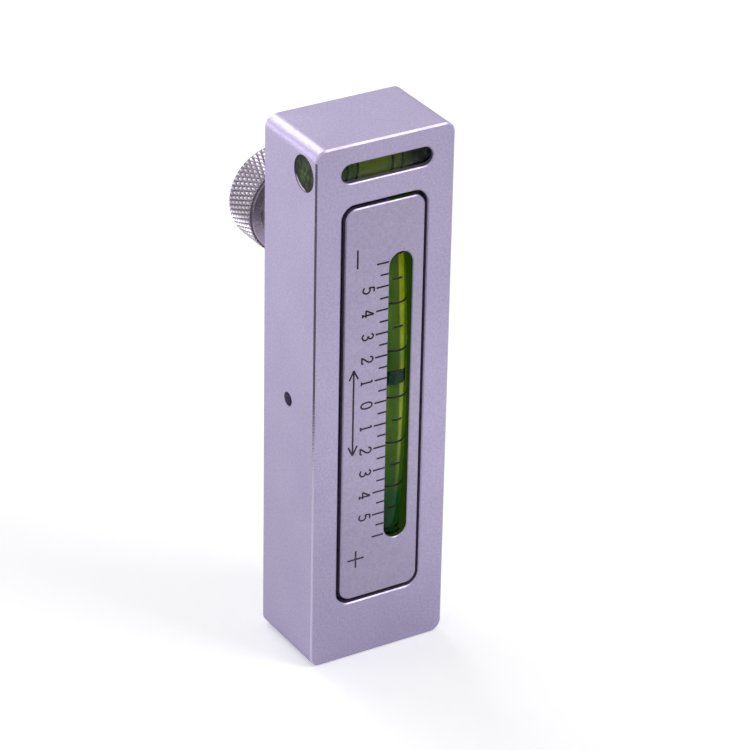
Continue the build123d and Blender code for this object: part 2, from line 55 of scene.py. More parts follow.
# %% [markdown]
# ## Sizes that the pieces share
# Every size is read from the boxes of the CAD nodes or named here once, in millimetres. The
# camber vial is a tube bent to an arc whose centre lies far behind the gauge: one degree of tilt
# moves its bubble 5.1 mm, so the arc's radius is 5.1 mm times 180 over pi.

# %% Read the sizes
def box_mm(node):
    """Lowest and highest corner of a CAD node in millimetres."""
    low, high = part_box(node)
    return low / MM, high / MM


plate_low = box_mm("scale_plate")[0]
knob_low, knob_high = box_mm("knurled_knob")
block_low, block_high = box_mm("body_block")
cross_low, cross_high = box_mm("cross_vial_tube")
MIDDLE = (block_low.z + block_high.z) / 2
FACE = plate_low.y
DEGREE = 5.1
BEND = DEGREE * 180 / math.pi
VIAL_X = 4.0
VIAL_RADIUS = 3.5
VIAL_Y = FACE + 0.15 + VIAL_RADIUS
WINDOW_HALF_WIDTH = 2.65
CORNER = 2.4
CROSS_Y = cross_low.y + VIAL_RADIUS
CROSS_Z = (cross_low.z + cross_high.z) / 2
KNOB_Z = (knob_low.z + knob_high.z) / 2
print("middle", MIDDLE, "face", FACE, "bend radius", round(BEND, 2), "knob axis", KNOB_Z)

# %% [markdown]
# ## Helpers for node trees
# Materials and geometry trees are built from the same few moves: add a node, set it and join it
# to others. A small class keeps those moves short, so that a cell shows what the tree does.

# %% A short way to write node trees
class Net:
    """Adds nodes to a tree. Inputs may be numbers, colours or other nodes' outputs."""

    def __init__(self, tree):
        self.tree = tree

    def put(self, socket, value):
        if isinstance(value, bpy.types.NodeSocket):
            self.tree.links.new(value, socket)
        elif value is not None:
            socket.default_value = value

    def add(self, kind, inputs=(), **settings):
        node = self.tree.nodes.new(kind)
        for key, value in settings.items():
            setattr(node, key, value)
        for key, value in dict(inputs).items():
            self.put(node.inputs[key], value)
        return node

    def math(self, operation, *values):
        node = self.add("ShaderNodeMath", operation=operation)
        for socket, value in zip(node.inputs, values):
            self.put(socket, value)
        return node.outputs[0]

    def xyz(self, vector):
        return self.add("ShaderNodeSeparateXYZ", {0: vector}).outputs


def tint(red, green, blue):
    """A colour as a screen shows it, from 0 to 255, turned into the linear one nodes use."""
    def linear(v):
        v /= 255
        return v / 12.92 if v <= 0.04045 else ((v + 0.055) / 1.055) ** 2.4
    return (linear(red), linear(green), linear(blue), 1.0)

# %% A short way to start a material
def surface(name):
    """A new material with a Principled shader, and the net to build on it."""
    made = bpy.data.materials.new(name)
    made.use_nodes = True
    made.node_tree.nodes.clear()
    net = Net(made.node_tree)
    shader = net.add("ShaderNodeBsdfPrincipled")
    out = net.add("ShaderNodeOutputMaterial")
    made.node_tree.links.new(shader.outputs[0], out.inputs["Surface"])
    net.place = net.add("ShaderNodeTexCoord").outputs["Object"]
    net.out = out
    return made, net, shader


def noise(net, size_mm, detail=2.0, stretch=None):
    """Noise whose blotches are about size_mm across, or longer along an axis with stretch."""
    place = net.place
    if stretch:
        place = net.add("ShaderNodeMapping", {"Vector": place, "Scale": stretch}).outputs[0]
    inputs = {"Vector": place, "Scale": 1 / (size_mm * MM), "Detail": detail}
    return net.add("ShaderNodeTexNoise", inputs).outputs["Fac"]


def spread(net, value, low, high, from_low=0.3, from_high=0.7):
    """Spreads a value that stays between two others over a new range."""
    inputs = {"Value": value, "From Min": from_low, "From Max": from_high,
              "To Min": low, "To Max": high}
    return net.add("ShaderNodeMapRange", inputs).outputs[0]


def between(net, share, first, second):
    mix = net.add("ShaderNodeMix", data_type="RGBA")
    net.put(mix.inputs[0], share)
    net.put(mix.inputs[6], first)
    net.put(mix.inputs[7], second)
    return mix.outputs[2]


def bumps(net, shader, height, depth_mm, strength=1.0, under=None):
    inputs = {"Height": height, "Distance": depth_mm * MM, "Strength": strength}
    if under is not None:
        inputs["Normal"] = under
    normal = net.add("ShaderNodeBump", inputs).outputs[0]
    net.put(shader.inputs["Normal"], normal)
    return normal

# %% [markdown]
# ## Bead-blasted, anodised aluminium
# The block, the plate and the knob are aluminium with a satin silver anodising that looks a
# little lavender. Blasting leaves tiny dents all over, which are too small to see one by one and
# show as a soft sheen. So the material is a metal of medium roughness whose roughness and colour
# drift a little over a few millimetres, with a fine grain bump on top. Each part gets its own
# grain, because the plate was blasted finer than the block.
#
# Some places differ from the rest of their part. The block's upright edges are bevelled with a
# fine cutter after the blasting, so they are smoother and lighter, and mirror the room as a thin
# line. The green light that the spirit throws on the wall of the long window and on the bar
# beside the vial is painted: a dark green with a faint glow of its own. And the lower half of the
# knob head's face is painted paler, a painted light. A share of 0 or 1, worked out from the place
# in the part, says where each of them is.

# %% Places that differ
def inside(net, value, low, high):
    """1 where a place in metres lies between two limits in millimetres, 0 elsewhere."""
    return net.math("MULTIPLY", net.math("GREATER_THAN", value, low * MM),
                    net.math("LESS_THAN", value, high * MM))


def upright_edges(net):
    """The bevels along the block's upright edges and a little way round its corners."""
    x, y, z = net.xyz(net.place)
    aside = net.math("ABSOLUTE", x)
    up = net.math("ABSOLUTE", net.math("SUBTRACT", z, MIDDLE * MM))
    over = [net.math("MAXIMUM", net.math("SUBTRACT", value, (half - CORNER) * MM), 0.0)
            for value, half in ((aside, block_high.x), (up, block_high.z - MIDDLE))]
    reach = net.math("SQRT", net.math("MULTIPLY_ADD", over[0], over[0],
                                      net.math("MULTIPLY", over[1], over[1])))
    share = net.math("MULTIPLY", net.math("GREATER_THAN", reach, (CORNER - 0.33) * MM),
                     net.math("GREATER_THAN", aside, (block_high.x - 1.4) * MM))
    return net.math("MULTIPLY", share,
                    inside(net, net.math("ABSOLUTE", y), block_high.y - 0.33,
                           block_high.y - 0.005))


def rubbed_face(net):
    """The lower part of the knob head's face, painted pale as painted light, fading out upwards."""
    x, y, z = net.xyz(net.place)
    lower = spread(net, z, 1.0, 0.0, (KNOB_Z - 8) * MM, (KNOB_Z + 3) * MM)
    return net.math("MULTIPLY", lower, inside(net, y, 24.55, 24.71))


def window_wall(net):
    """The wall of the long window, behind its chamfer, painted with the spirit's green light."""
    x, y, z = net.xyz(net.place)
    return net.math("MULTIPLY",
                    inside(net, x, VIAL_X - WINDOW_HALF_WIDTH - 0.01,
                           VIAL_X + WINDOW_HALF_WIDTH + 0.01),
                    net.math("GREATER_THAN", y, (FACE + 0.2) * MM))


def beside_vial(net):
    """The bar on both sides of the camber vial, as long as the window shows it, painted with the
    spirit's green light.
    """
    x, y, z = net.xyz(net.place)
    return net.math("MULTIPLY", inside(net, x, VIAL_X - 4.2, VIAL_X + 4.2),
                    inside(net, z, MIDDLE - 33.5, MIDDLE + 33.5))

# %% Anodised aluminium
def anodised(name, colour, drift, grain_mm, grain_depth_mm, rough, mottle=0.1, place=None,
             other=(0, 0, 0, 1), smoother=0.0, glow=0.0):
    """drift is the second colour that the surface wanders to, rough a pair of limits, and mottle
    the swing in brightness from one blasted patch to the next. place makes the share of another
    colour, where the surface may also be smoother or glow."""
    made, net, shader = surface(name)
    clouds = noise(net, 14, 3)
    patches = spread(net, noise(net, 0.5, 2), 1 - mottle, 1 + mottle)
    skin = net.add("ShaderNodeVectorMath", {0: between(net, spread(net, clouds, 0, 1), colour,
                                                       drift)}, operation="SCALE")
    net.put(skin.inputs["Scale"], patches)
    seen, roughness = skin.outputs[0], spread(net, noise(net, 2.2, 3), *rough)
    if place:
        share = place(net)
        seen = between(net, share, seen, other)
        roughness = net.math("SUBTRACT", roughness, net.math("MULTIPLY", share, smoother))
        if glow:
            net.put(shader.inputs["Emission Color"], other)
            net.put(shader.inputs["Emission Strength"], net.math("MULTIPLY", share, glow))
    net.put(shader.inputs["Base Color"], seen)
    shader.inputs["Metallic"].default_value = 0.88
    net.put(shader.inputs["Roughness"], roughness)
    bumps(net, shader, noise(net, grain_mm, 3), grain_depth_mm)
    return made


block_skin = anodised("block_anodised", tint(186, 176, 207), tint(180, 170, 203),
                      0.34, 0.020, (0.40, 0.47), place=upright_edges,
                      other=tint(206, 197, 224), smoother=0.30)
# The wall of the long window is painted dark green with a faint glow: painted light from the
# spirit.
plate_skin = anodised("plate_anodised", tint(177, 167, 195), tint(171, 162, 191),
                      0.30, 0.013, (0.37, 0.45), 0.08, window_wall, tint(34, 58, 12),
                      glow=0.6)
# The knob's face is painted near white low down: painted light.
knob_skin = anodised("knob_anodised", tint(158, 152, 156), tint(148, 142, 148),
                     0.10, 0.004, (0.24, 0.32), place=rubbed_face,
                     other=tint(250, 234, 238))
bushing_skin = anodised("bushing_anodised", tint(150, 146, 160), tint(142, 139, 152),
                        0.10, 0.004, (0.30, 0.38))
# Near black, which also stands in for the shade in the narrow gaps round the plate: partly painted
# shade. Beside the vial it is painted green with a faint glow: painted light from the spirit.
carrier_skin = anodised("carrier_black_anodised_gap_shade", tint(34, 33, 38), tint(28, 27, 31),
                        0.14, 0.006, (0.40, 0.50), place=beside_vial, other=tint(44, 68, 12),
                        glow=0.5)

# %% [markdown]
# ## Turned and plated metals
# Steel pins, screws and the magnet's pot are turned on a lathe, which leaves fine rings round
# their axis. A stretched noise gives such rings without a pattern that repeats.

# %% Steels, nickel and brass
def turned(name, colour, along, rough, depth_mm=0.003, metal=1.0):
    """along scales the noise: the small numbers are the directions that the lines run in."""
    made, net, shader = surface(name)
    lines = noise(net, 0.12, 2, along)
    stains = noise(net, 3.0, 3)
    darker = tuple(0.72 * v for v in colour[:3]) + (1.0,)
    net.put(shader.inputs["Base Color"], between(net, spread(net, stains, 0, 1), colour, darker))
    shader.inputs["Metallic"].default_value = metal
    net.put(shader.inputs["Roughness"], spread(net, lines, *rough))
    bumps(net, shader, lines, depth_mm)
    return made


pin_steel = turned("pin_steel", tint(58, 57, 62), (0.1, 1, 1), (0.34, 0.5))
black_steel = turned("blackened_steel", tint(30, 29, 31), (1, 0.15, 1), (0.38, 0.55), metal=0.8)
washer_steel = turned("spring_steel", tint(196, 194, 198), (1, 0.2, 1), (0.22, 0.34))
pot_nickel = turned("pot_nickel", tint(205, 200, 192), (1, 1, 0.15), (0.16, 0.28))
disc_nickel = turned("disc_nickel", tint(216, 213, 208), (1, 1, 0.1), (0.10, 0.20), 0.001)
spacer_brass = turned("spacer_brass", tint(196, 160, 88), (1, 1, 0.15), (0.24, 0.36))

# %% [markdown]
# ## Ink and enamel
# The scale is cut into the plate and filled with black enamel, and the vials carry printed black
# lines. Both are nearly black with a faint unevenness, and the enamel sags a little in its cut.

# %% Enamel and ink
def black_paint(name, colour, rough, thin=None):
    """thin is the colour where the paint lies thinner, towards the hub end."""
    made, net, shader = surface(name)
    flecks = noise(net, 0.3, 3)
    paler = tuple(min(1.0, 2.2 * v + 0.002) for v in colour[:3]) + (1.0,)
    ink = between(net, spread(net, flecks, 0, 1), colour, paler)
    if thin:
        low = spread(net, net.xyz(net.place)[2], 1.0, 0.0, 26 * MM, 76 * MM)
        ink = between(net, low, ink, thin)
    net.put(shader.inputs["Base Color"], ink)
    net.put(shader.inputs["Roughness"], spread(net, noise(net, 0.8, 2), *rough))
    shader.inputs["Specular IOR Level"].default_value = 0.2
    bumps(net, shader, noise(net, 0.2, 2), 0.004)
    return made


scale_enamel = black_paint("scale_enamel_black", tint(20, 18, 26), (0.45, 0.6),
                           tint(62, 58, 76))
vial_ink = black_paint("vial_ink_black", tint(14, 22, 14), (0.30, 0.45))
end_sealant = black_paint("vial_end_sealant", tint(34, 44, 26), (0.30, 0.45))

# %% [markdown]
# ## What the vials are made of
# A spirit vial is a clear tube of yellow-green spirit lying in a trough. Glass and spirit bend
# light nearly alike, so together they act as one thick rod lens: looking in, one sees only a
# narrow strip of the trough behind, spread over the tube's whole width. The rod also gathers the
# studio light into a bright line on that trough. Cycles would need many samples to find the
# line, so the trough's colour carries it, as a yellow band at the angle where the light falls.
# A Light Path switch lets lamps shine through the glass, which keeps the trough lit.

# %% Clear glass and the spirit's tint
def clear_glass(name, colour, bend):
    made, net, shader = surface(name)
    shader.inputs["Base Color"].default_value = colour
    shader.inputs["Transmission Weight"].default_value = 1.0
    shader.inputs["IOR"].default_value = bend
    shader.inputs["Roughness"].default_value = 0.0
    shader.inputs["Specular Tint"].default_value = (0.3, 0.3, 0.3, 1)
    bumps(net, shader, noise(net, 5.0, 1), 0.006)
    open_glass = net.add("ShaderNodeBsdfTransparent", {"Color": (0.9, 0.95, 0.85, 1)})
    switch = net.add("ShaderNodeMixShader")
    net.put(switch.inputs[0], net.add("ShaderNodeLightPath").outputs["Is Shadow Ray"])
    net.put(switch.inputs[1], shader.outputs[0])
    net.put(switch.inputs[2], open_glass.outputs[0])
    net.put(net.out.inputs["Surface"], switch.outputs[0])
    return made


def tinted_film(name, colour):
    """A film that only tints what is behind it, for the skin of the spirit."""
    made, net, shader = surface(name)
    net.tree.nodes.remove(shader)
    film = net.add("ShaderNodeBsdfTransparent", {"Color": colour})
    net.put(net.out.inputs["Surface"], film.outputs[0])
    return made


vial_glass = clear_glass("vial_glass", (0.97, 1.0, 0.95, 1), 1.45)
spirit = tinted_film("vial_spirit_tint", (0.93, 0.99, 0.78, 1))

# %% Troughs with the gathered line of light
def trough(name, angle, colours, edges, fade, glow=0.0, begin=None):
    """angle makes the socket with the angle round the vial in degrees, from straight behind.

    colours are the plain, the lit and the shaded one. edges are four angles, where the light
    begins and ends, fade makes the share of shade along the vial, and begin the share of light.
    With a glow, light and shade also shine a little by themselves.
    """
    made, net, shader = surface(name)
    degrees = angle(net)
    share = net.add("ShaderNodeMapRange", {"Value": degrees, "From Min": edges[0],
                                           "From Max": edges[1]}).outputs[0]
    off = net.add("ShaderNodeMapRange", {"Value": degrees, "From Min": edges[2],
                                         "From Max": edges[3], "To Min": 1.0,
                                         "To Max": 0.0}).outputs[0]
    shaded = fade(net)
    lit = net.math("MULTIPLY", net.math("MULTIPLY", share, off),
                   net.math("SUBTRACT", 1.0, shaded))
    if begin:
        lit = net.math("MULTIPLY", lit, begin(net))
    cloud = spread(net, noise(net, 2.0, 2, (1, 1, 0.3)), 0.82, 1.1)
    streaks = spread(net, noise(net, 0.3, 2, (1, 1, 0.03)), 0.86, 1.12)
    shade = between(net, lit, between(net, shaded, colours[0], colours[2]), colours[1])
    scaled = net.add("ShaderNodeVectorMath", {0: shade}, operation="SCALE")
    net.put(scaled.inputs["Scale"], net.math("MULTIPLY", cloud, streaks))
    net.put(shader.inputs["Base Color"], scaled.outputs[0])
    if glow:
        net.put(shader.inputs["Emission Color"], scaled.outputs[0])
        shine = net.math("MULTIPLY_ADD", shaded, 0.12, net.math("MULTIPLY", lit, glow))
        net.put(shader.inputs["Emission Strength"], shine)
    shader.inputs["Roughness"].default_value = 0.8
    bumps(net, shader, noise(net, 0.4, 2), 0.01)
    return made


def fade_between(axis, start, end):
    """Makes the share that grows from 0 at start to 1 at end, in millimetres along an axis."""
    def share(net):
        spot = net.xyz(net.place)[axis]
        return net.add("ShaderNodeMapRange", {"Value": spot, "From Min": start * MM,
                                              "From Max": end * MM}).outputs[0]
    return share


def angle_behind_camber_vial(net):
    """The angle round the bent tube's own axis, positive towards +X."""
    x, y, z = net.xyz(net.place)
    up = net.math("SUBTRACT", z, MIDDLE * MM)
    back = net.math("SUBTRACT", (VIAL_Y + BEND) * MM, y)
    reach = net.math("SQRT", net.math("ADD", net.math("MULTIPLY", up, up),
                                      net.math("MULTIPLY", back, back)))
    behind = net.math("SUBTRACT", BEND * MM, reach)
    side = net.math("SUBTRACT", x, VIAL_X * MM)
    return net.math("DEGREES", net.math("ARCTAN2", side, behind))


def angle_behind_cross_vial(net):
    """The angle round the straight tube's axis, positive downwards."""
    x, y, z = net.xyz(net.place)
    behind = net.math("SUBTRACT", y, CROSS_Y * MM)
    down = net.math("SUBTRACT", CROSS_Z * MM, z)
    return net.math("DEGREES", net.math("ARCTAN2", down, behind))


def shade_along_camber_vial(net):
    """The light fades towards the hub end, and a little in one place above the middle."""
    end = fade_between(2, 46.0, 32.0)(net)
    dip = net.math("MULTIPLY", fade_between(2, 68.5, 65.5)(net), fade_between(2, 61.0, 64.0)(net))
    return net.math("MAXIMUM", end, net.math("MULTIPLY", dip, 0.5))


camber_trough = trough("camber_trough", angle_behind_camber_vial,
                       (tint(134, 170, 66), tint(246, 232, 26), tint(34, 108, 68)),
                       (39.8, 40.6, 55.0, 61.0), shade_along_camber_vial, 0.1)
cross_trough = trough("cross_trough", angle_behind_cross_vial,
                      (tint(112, 150, 70), tint(168, 174, 26), tint(60, 76, 38)),
                      (10.0, 15.0, 36.0, 40.0), fade_between(0, 6.5, 9.0),
                      begin=fade_between(0, -4.2, -3.6))

# %% [markdown]
# ## Resin and bubbles
# The levelling vial's end is sealed with clear resin, in which the green of the spirit shows as
# soft clouds. The clouds fade towards the rim, a painted shade, and the resin glows a little in
# its own colour, a painted light. A painted highlight at the lower back of its raised rim stands
# for the light that the rim catches. A bubble is only a skin of spirit that mirrors its
# surroundings: the camber vial's is painted dark teal, a painted reflection of the dark round it,
# and the levelling vial's lets nearly everything through.

# %% Resin
resin_green, net, shader = surface("resin_green")
x, y, z = net.xyz(net.place)
back, up = net.math("SUBTRACT", y, CROSS_Y * MM), net.math("SUBTRACT", z, CROSS_Z * MM)
reach = net.math("SQRT", net.math("MULTIPLY_ADD", back, back, net.math("MULTIPLY", up, up)))
cloudy = spread(net, noise(net, 1.1, 3, (1, 1, 0.6)), 0, 1, 0.42, 0.62)
# Darker towards the rim: painted shade.
middle = net.math("SUBTRACT", 1.0, spread(net, reach, 0, 1, 0.4 * MM, 2.8 * MM))
cloudy = net.math("MULTIPLY", cloudy, net.math("MULTIPLY_ADD", middle, 0.7, 0.3))
green = between(net, cloudy, tint(10, 18, 6), tint(72, 92, 36))
aside = net.math("SUBTRACT", net.math("MULTIPLY", back, 0.5), net.math("MULTIPLY", up, 0.87))
# A pale crescent at the lower back of the rim: painted highlight.
painted_rim_highlight = net.math("MULTIPLY", spread(net, reach, 0, 1, 3.25 * MM, 3.5 * MM),
               spread(net, aside, 0, 1, 2.8 * MM, 3.3 * MM))
green = between(net, painted_rim_highlight, green, tint(214, 200, 204))
net.put(shader.inputs["Base Color"], green)
# The resin glows faintly in its own colour: painted light.
net.put(shader.inputs["Emission Color"], green)
shader.inputs["Emission Strength"].default_value = 0.15
net.put(shader.inputs["Roughness"], spread(net, noise(net, 1.0, 2), 0.12, 0.2))
shader.inputs["Specular IOR Level"].default_value = 0.1
bumps(net, shader, noise(net, 1.6, 2), 0.12)

# %% The bubbles' skins
# The camber bubble's dark teal is a painted reflection of the dark round it.
bubble_skin, net, shader = surface("bubble_skin")
net.put(shader.inputs["Base Color"],
        between(net, noise(net, 1.0, 2), tint(5, 50, 42), tint(9, 58, 48)))
shader.inputs["Roughness"].default_value = 0.6
shader.inputs["Specular IOR Level"].default_value = 0.1
level_bubble_skin, net, shader = surface("level_bubble_skin")
net.put(shader.inputs["Base Color"],
        between(net, noise(net, 1.0, 2), tint(150, 175, 40), tint(170, 190, 50)))
shader.inputs["Roughness"].default_value = 0.5
shader.inputs["Specular IOR Level"].default_value = 0.1
shader.inputs["Alpha"].default_value = 0.12

# %% [markdown]
# ## The CAD nodes that stay
# Most nodes already have their final shape, with smooth normals on their round faces. They stay
# as they are, and only their material slots change.

# %% Dress the CAD nodes
FINISHES = {
    "body_block": block_skin,
    "scale_plate": plate_skin,
    "vial_carrier": carrier_skin,
    "stud_bushing": bushing_skin,
    "pivot_pin": black_steel,
    "link_pin": pin_steel,
    "adjusting_stud": pin_steel,
    "plate_screws": black_steel,
    "knob_grub_screws": black_steel,
    "magnet_cup": pot_nickel,
    "hub_magnet": disc_nickel,
    "magnet_spacer_ring": spacer_brass,
    "long_vial_plugs": end_sealant,
    "cross_vial_plugs": end_sealant,
    "cross_vial_rings": vial_ink,
    "long_vial_bed": camber_trough,
    "cross_vial_bed": cross_trough,
}
for node, finish in FINISHES.items():
    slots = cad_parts[node].data.materials
    for index in range(len(slots)):
        slots[index] = finish
print("dressed", len(FINISHES), "nodes")

# %% [markdown]
# ## Helpers for new pieces
# A piece that the CAD solid only blocks in is built anew and takes the node's place. Its object
# stays at the origin and its place is in its mesh, as a CAD node's is.

# %% Make, shade and hand over a piece
def add_piece(name, mesh, material=None):
    piece = bpy.data.objects.new(name, mesh)
    bpy.context.scene.collection.objects.link(piece)
    if material is not None:
        mesh.materials.clear()
        mesh.materials.append(material)
    return piece


def shade(piece, sharp_degrees=35):
    """Smooth shading, with edges kept sharp where faces meet at more than the angle."""
    piece.data.shade_smooth()
    piece.data.set_sharp_from_angle(angle=math.radians(sharp_degrees))


def hand_over(piece, body, slot, *nodes):
    """The piece rides on its body and stands for the nodes."""
    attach(piece, body)
    if nodes:
        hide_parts(*nodes)
    print(piece.name, len(piece.data.polygons), "faces, on", body)
    return piece


def evaluated(piece):
    """The mesh of an object with its modifiers worked out, as a plain mesh."""
    graph = bpy.context.evaluated_depsgraph_get()
    graph.update()
    return bpy.data.meshes.new_from_object(piece.evaluated_get(graph), depsgraph=graph)

# %% Geometry trees: start one, and turn its result into a piece
def start_tree(name, *inputs):
    """inputs are (label, kind) pairs. Returns the tree's net and the identifiers by label."""
    tree = bpy.data.node_groups.new(name, "GeometryNodeTree")
    tree.interface.new_socket("Geometry", in_out="OUTPUT", socket_type="NodeSocketGeometry")
    names = {}
    for label, kind in (*inputs, ("Material", "Material")):
        made = tree.interface.new_socket(label, in_out="INPUT",
                                         socket_type="NodeSocket" + kind)
        names[label] = made.identifier
    net = Net(tree)
    net.given = net.add("NodeGroupInput").outputs
    return net, names


def end_tree(net, geometry):
    """Every tree ends the same way: instances made real, one material, then the output."""
    real = net.add("GeometryNodeRealizeInstances", {0: geometry}).outputs[0]
    dressed = net.add("GeometryNodeSetMaterial", {"Geometry": real,
                                                  "Material": net.given["Material"]})
    net.put(net.add("NodeGroupOutput").inputs[0], dressed.outputs[0])


def grow(name, net, names, material, **values):
    """Runs a tree once with these values and returns its result as a plain mesh object."""
    host = bpy.data.objects.new(name + "_host", bpy.data.meshes.new(name + "_host"))
    bpy.context.scene.collection.objects.link(host)
    modifier = host.modifiers.new("grow", "NODES")
    modifier.node_group = net.tree
    modifier[names["Material"]] = material
    for label, value in values.items():
        modifier[names[label.replace("_", " ")]] = value
    mesh = evaluated(host)
    bpy.data.objects.remove(host)
    mesh.name = name
    return add_piece(name, mesh)

# %% [markdown]
# ## Scale lines
# The scale has a line every half degree, long at whole degrees and short between. That is a rule,
# so Geometry Nodes make it: points up the plate, one bar on each, its length chosen by whether
# the point's number is even. The enamel fills the plate's cuts and runs over their edges a
# little, so the bars are wider than the cuts and stand a hair proud.

# %% Scale lines
net, names = start_tree("Scale lines", ("Spacing", "Float"), ("Lines", "Int"), ("Long", "Float"),
                        ("Short", "Float"), ("Width", "Float"), ("Depth", "Float"),
                        ("Right end", "Vector"))
given = net.given
rise = net.math("MULTIPLY", net.math("SUBTRACT", given["Lines"], 1.0), given["Spacing"])
start = net.add("ShaderNodeCombineXYZ", {2: net.math("MULTIPLY", rise, -0.5)}).outputs[0]
step = net.add("ShaderNodeCombineXYZ", {2: given["Spacing"]}).outputs[0]
points = net.add("GeometryNodeMeshLine", {"Count": given["Lines"], "Start Location": start,
                                          "Offset": step})
odd = net.math("MODULO", net.add("GeometryNodeInputIndex").outputs[0], 2.0)
length = net.add("ShaderNodeMix", data_type="FLOAT")
net.put(length.inputs[0], odd)
net.put(length.inputs[2], given["Long"])
net.put(length.inputs[3], given["Short"])
size = net.add("ShaderNodeCombineXYZ", {0: length.outputs[0], 1: given["Depth"],
                                        2: given["Width"]}).outputs[0]
bar = net.add("GeometryNodeMeshCube", {"Vertices X": 5, "Vertices Y": 3, "Vertices Z": 3})
moved = net.add("GeometryNodeTransform", {"Geometry": bar.outputs[0],
                                          "Translation": (-0.5, 0.5, 0.0)})
placed = net.add("GeometryNodeInstanceOnPoints", {"Points": points.outputs[0],
                                                  "Instance": moved.outputs[0], "Scale": size})
lifted = net.add("GeometryNodeTransform", {"Geometry": placed.outputs[0],
                                           "Translation": given["Right end"]})
end_tree(net, lifted.outputs[0])
ticks_high = box_mm("scale_ticks")[1]
ENAMEL_RISE = 0.01
scale_lines = grow("scale_lines", net, names, scale_enamel, Spacing=DEGREE / 2 * MM, Lines=25,
                   Long=2.75 * MM, Short=1.9 * MM, Width=0.38 * MM,
                   Depth=(0.11 + ENAMEL_RISE) * MM,
                   Right_end=(ticks_high.x * MM, (FACE - ENAMEL_RISE) * MM, MIDDLE * MM))
hand_over(scale_lines, "carrier", "scale_enamel", "scale_ticks")

# %% [markdown]
# ## Numbers
# The numbers are engraved with a round-nosed cutter that follows a single line, so each digit is
# drawn as such a line: a smooth curve through a few points on a unit square, given a round
# profile. They read down the plate, with their tops towards the window. Plain minus and plus
# signs mark the two directions, and an arrow shows the way that the scale is read.

# %% Strokes
def smooth_line(points, steps=8):
    """Points on a Catmull-Rom curve through the given ones."""
    if len(points) == 2:
        return points
    closed = points[0] == points[-1]
    padded = ([points[-2], *points, points[1]] if closed
              else [points[0], *points, points[-1]])
    made = []
    for a, b, c, d in zip(padded, padded[1:], padded[2:], padded[3:]):
        for step in range(steps):
            t = step / steps
            made.append(tuple(0.5 * (2 * q + (r - p) * t + (2 * p - 5 * q + 4 * r - s) * t ** 2
                                     + (3 * q - p - 3 * r + s) * t ** 3)
                              for p, q, r, s in zip(a, b, c, d)))
    return made + [points[-1]]


def engrave(name, strokes, width_mm, material):
    """strokes are lists of (x, z) points in mm on the plate's face. One mesh of round lines."""
    curve = bpy.data.curves.new(name, "CURVE")
    curve.dimensions = "3D"
    curve.bevel_depth = width_mm / 2 * MM
    curve.bevel_resolution = 3
    curve.use_fill_caps = True
    for points in strokes:
        spline = curve.splines.new("POLY")
        spline.points.add(len(points) - 1)
        for point, (x, z) in zip(spline.points, points):
            point.co = (x * MM, 0, z * MM, 1)
    host = bpy.data.objects.new(name + "_host", curve)
    bpy.context.scene.collection.objects.link(host)
    mesh = evaluated(host)
    bpy.data.objects.remove(host)
    flatten = Matrix.Diagonal((1, 0.25, 1, 1))
    mesh.transform(Matrix.Translation((0, FACE * MM, 0)) @ flatten)
    piece = add_piece(name, mesh, material)
    shade(piece, 60)
    return piece


DIGITS = {
    "0": [[(0.3, 1), (0.1, 0.86), (0.03, 0.5), (0.1, 0.14), (0.3, 0), (0.5, 0.14), (0.57, 0.5),
           (0.5, 0.86), (0.3, 1)]],
    "1": [[(0.3, 0), (0.3, 1)], [(0.14, 0), (0.46, 0)], [(0.14, 0.9), (0.3, 1)]],
    "2": [[(0.06, 0.74), (0.12, 0.92), (0.3, 1), (0.49, 0.9), (0.54, 0.7), (0.42, 0.46),
           (0.2, 0.2), (0.04, 0)], [(0.04, 0), (0.54, 0)], [(0.54, 0), (0.58, 0.14)]],
    "3": [[(0.07, 0.84), (0.26, 1), (0.46, 0.92), (0.52, 0.76), (0.44, 0.6), (0.24, 0.53)],
          [(0.24, 0.53), (0.47, 0.47), (0.57, 0.28), (0.47, 0.07), (0.26, 0), (0.04, 0.13)]],
    "4": [[(0.44, 0), (0.44, 1)], [(0.44, 1), (0.02, 0.3)], [(0.02, 0.3), (0.62, 0.3)],
          [(0.3, 0), (0.58, 0)]],
    "5": [[(0.52, 1), (0.15, 1)], [(0.15, 1), (0.1, 0.55)],
          [(0.1, 0.55), (0.3, 0.63), (0.5, 0.53), (0.57, 0.32), (0.47, 0.08), (0.27, 0),
           (0.04, 0.12)]],
}
DIGIT_HEIGHT = 2.5
DIGIT_BASE = -4.57


def digit_strokes(digit, z_centre):
    """The digit turned a quarter clockwise, its base towards -X, centred on a scale line."""
    return [[(DIGIT_BASE + v * DIGIT_HEIGHT, z_centre - (u - 0.3) * DIGIT_HEIGHT)
             for u, v in smooth_line(line)] for line in DIGITS[digit]]

# %% Engrave the numbers and the signs
strokes = []
for degree in range(-5, 6):
    strokes += digit_strokes(str(abs(degree)), MIDDLE + degree * DEGREE)
numbers = engrave("scale_numbers", strokes, 0.38, scale_enamel)
hand_over(numbers, "carrier", "scale_enamel")
signs = [[(-5.9, 88.2), (-5.9, 92.2)], [(-5.2, 20.8), (-5.2, 24.6)], [(-7.1, 22.7), (-3.3, 22.7)]]
arrow = [[(-6.35, 47.0), (-6.35, 66.0)],
         [(-7.35, 64.0), (-6.35, 66.0)], [(-5.35, 64.0), (-6.35, 66.0)],
         [(-7.35, 49.0), (-6.35, 47.0)], [(-5.35, 49.0), (-6.35, 47.0)]]
direction_signs = engrave("direction_signs", signs + arrow, 0.4, scale_enamel)
hand_over(direction_signs, "carrier", "scale_enamel")

# %% [markdown]
# ## The camber vial
# The tube is bent, so its rings are set along an arc: each ring is a circle whose centre lies on
# the arc and whose plane holds the arc's radius. One function makes the rod of glass, the spirit
# in it and the bubble, from a radius that may change along the way.

# %% Rods along the bent axis
def on_arc(degrees, x, forward):
    """A point beside the bent axis: x from it, and forward of it, in millimetres."""
    turn = math.radians(degrees)
    reach = BEND + forward
    return Vector((VIAL_X + x, VIAL_Y + BEND - reach * math.cos(turn),
                   MIDDLE + reach * math.sin(turn))) * MM


